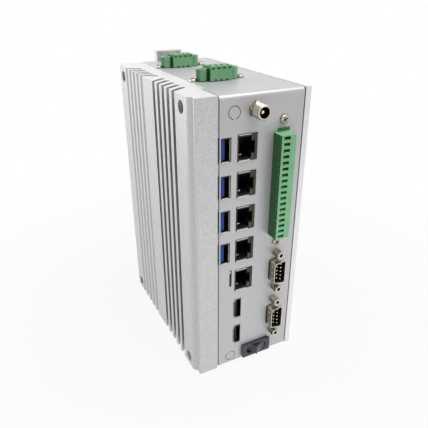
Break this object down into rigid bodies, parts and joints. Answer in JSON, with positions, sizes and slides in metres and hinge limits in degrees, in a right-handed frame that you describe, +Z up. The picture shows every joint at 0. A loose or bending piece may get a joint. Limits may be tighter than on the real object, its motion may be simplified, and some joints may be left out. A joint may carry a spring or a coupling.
{
  "type": "rail-mounted control computer",
  "caption": "Upright control computer for a mounting rail: finned heatsink side, port panel with network, data and serial connectors, terminal plugs, rocker switch and rail latch.",
  "frame": {"origin": "middle of the housing's bottom face", "axes": "+Z up, -Y out of the port panel, -X towards the heatsink"},
  "size_m": [0.0724, 0.1394, 0.1863],
  "materials": {
    "anodised_aluminium": "satin anodised",
    "painted_sheet": "fine-grained silver",
    "zinc_screw": "bright zinc",
    "plated_zinc": "nickel plated",
    "tinned_shell": "bright tin plate",
    "galvanised_steel": "galvanised",
    "spring_steel": "oiled",
    "green_plastic": "fine matte",
    "black_plastic": "matte",
    "dark_switch_plastic": "satin",
    "blue_plastic": "satin",
    "lamp_plastic": "unlit lens",
    "contact_brass": "gold plated",
    "circuit_board": "solder mask",
    "chip_plastic": "moulded",
    "bare_aluminium": "milled",
    "cell_steel": "bright",
    "ribbon_plastic": "matte"
  },
  "bodies": {
    "housing": {"heatsink": "anodised_aluminium", "chassis": "painted_sheet", "back_plate": "painted_sheet", "side_cover": "painted_sheet", "heatsink_screws": "zinc_screw", "cover_screws": "zinc_screw", "back_screws": "zinc_screw", "bracket_screws": "zinc_screw", "header_screws": "zinc_screw", "boss_screws": "zinc_screw", "board_screws": "zinc_screw", "plug_clamp_screws": "zinc_screw", "serial_jackscrews": "plated_zinc", "power_jack": "plated_zinc", "power_jack_nut": "plated_zinc", "data_port_1": "tinned_shell", "data_port_2": "tinned_shell", "data_port_3": "tinned_shell", "data_port_4": "tinned_shell", "network_jack_1": "tinned_shell", "network_jack_2": "tinned_shell", "network_jack_3": "tinned_shell", "network_jack_4": "tinned_shell", "network_jack_5": "tinned_shell", "video_port_1": "tinned_shell", "video_port_2": "tinned_shell", "card_slot": "tinned_shell", "serial_shell_1": "tinned_shell", "serial_shell_2": "tinned_shell", "rail_bracket": "galvanised_steel", "board_standoffs": "galvanised_steel", "io_standoffs": "galvanised_steel", "cover_standoffs": "galvanised_steel", "latch_spring": "spring_steel", "io_plug": "green_plastic", "top_plug_1": "green_plastic", "top_plug_2": "green_plastic", "io_header": "green_plastic", "top_headers": "green_plastic", "jack_inserts": "black_plastic", "video_tongues": "black_plastic", "serial_insulators": "black_plastic", "switch_body": "black_plastic", "memory_socket": "black_plastic", "data_tongues": "blue_plastic", "jack_lamps": "lamp_plastic", "jack_contacts": "contact_brass", "serial_pins": "contact_brass", "header_pins": "contact_brass", "power_jack_pin": "contact_brass", "switch_terminals": "contact_brass", "main_board": "circuit_board", "io_board": "circuit_board", "memory_module": "circuit_board", "processor": "chip_plastic", "thermal_block": "bare_aluminium", "coin_cell": "cell_steel", "board_ribbon": "ribbon_plastic"},
    "rocker": {"rocker": "dark_switch_plastic"},
    "latch": {"rail_latch": "galvanised_steel"}
  },
  "joints": [
    {"name": "power_rocker", "type": "hinge", "parent": "housing", "child": "rocker", "pos_m": [0.00655, -0.062, 0.0078], "axis": [0, 0, 1], "range_deg": [0, 24]},
    {"name": "rail_latch_slide", "type": "slide", "parent": "housing", "child": "latch", "axis": [0, 0, -1], "range_m": [0, 0.004], "stiffness_N_per_m": 1500, "springref_m": -0.004, "deforming": ["latch_spring"]}
  ]
}
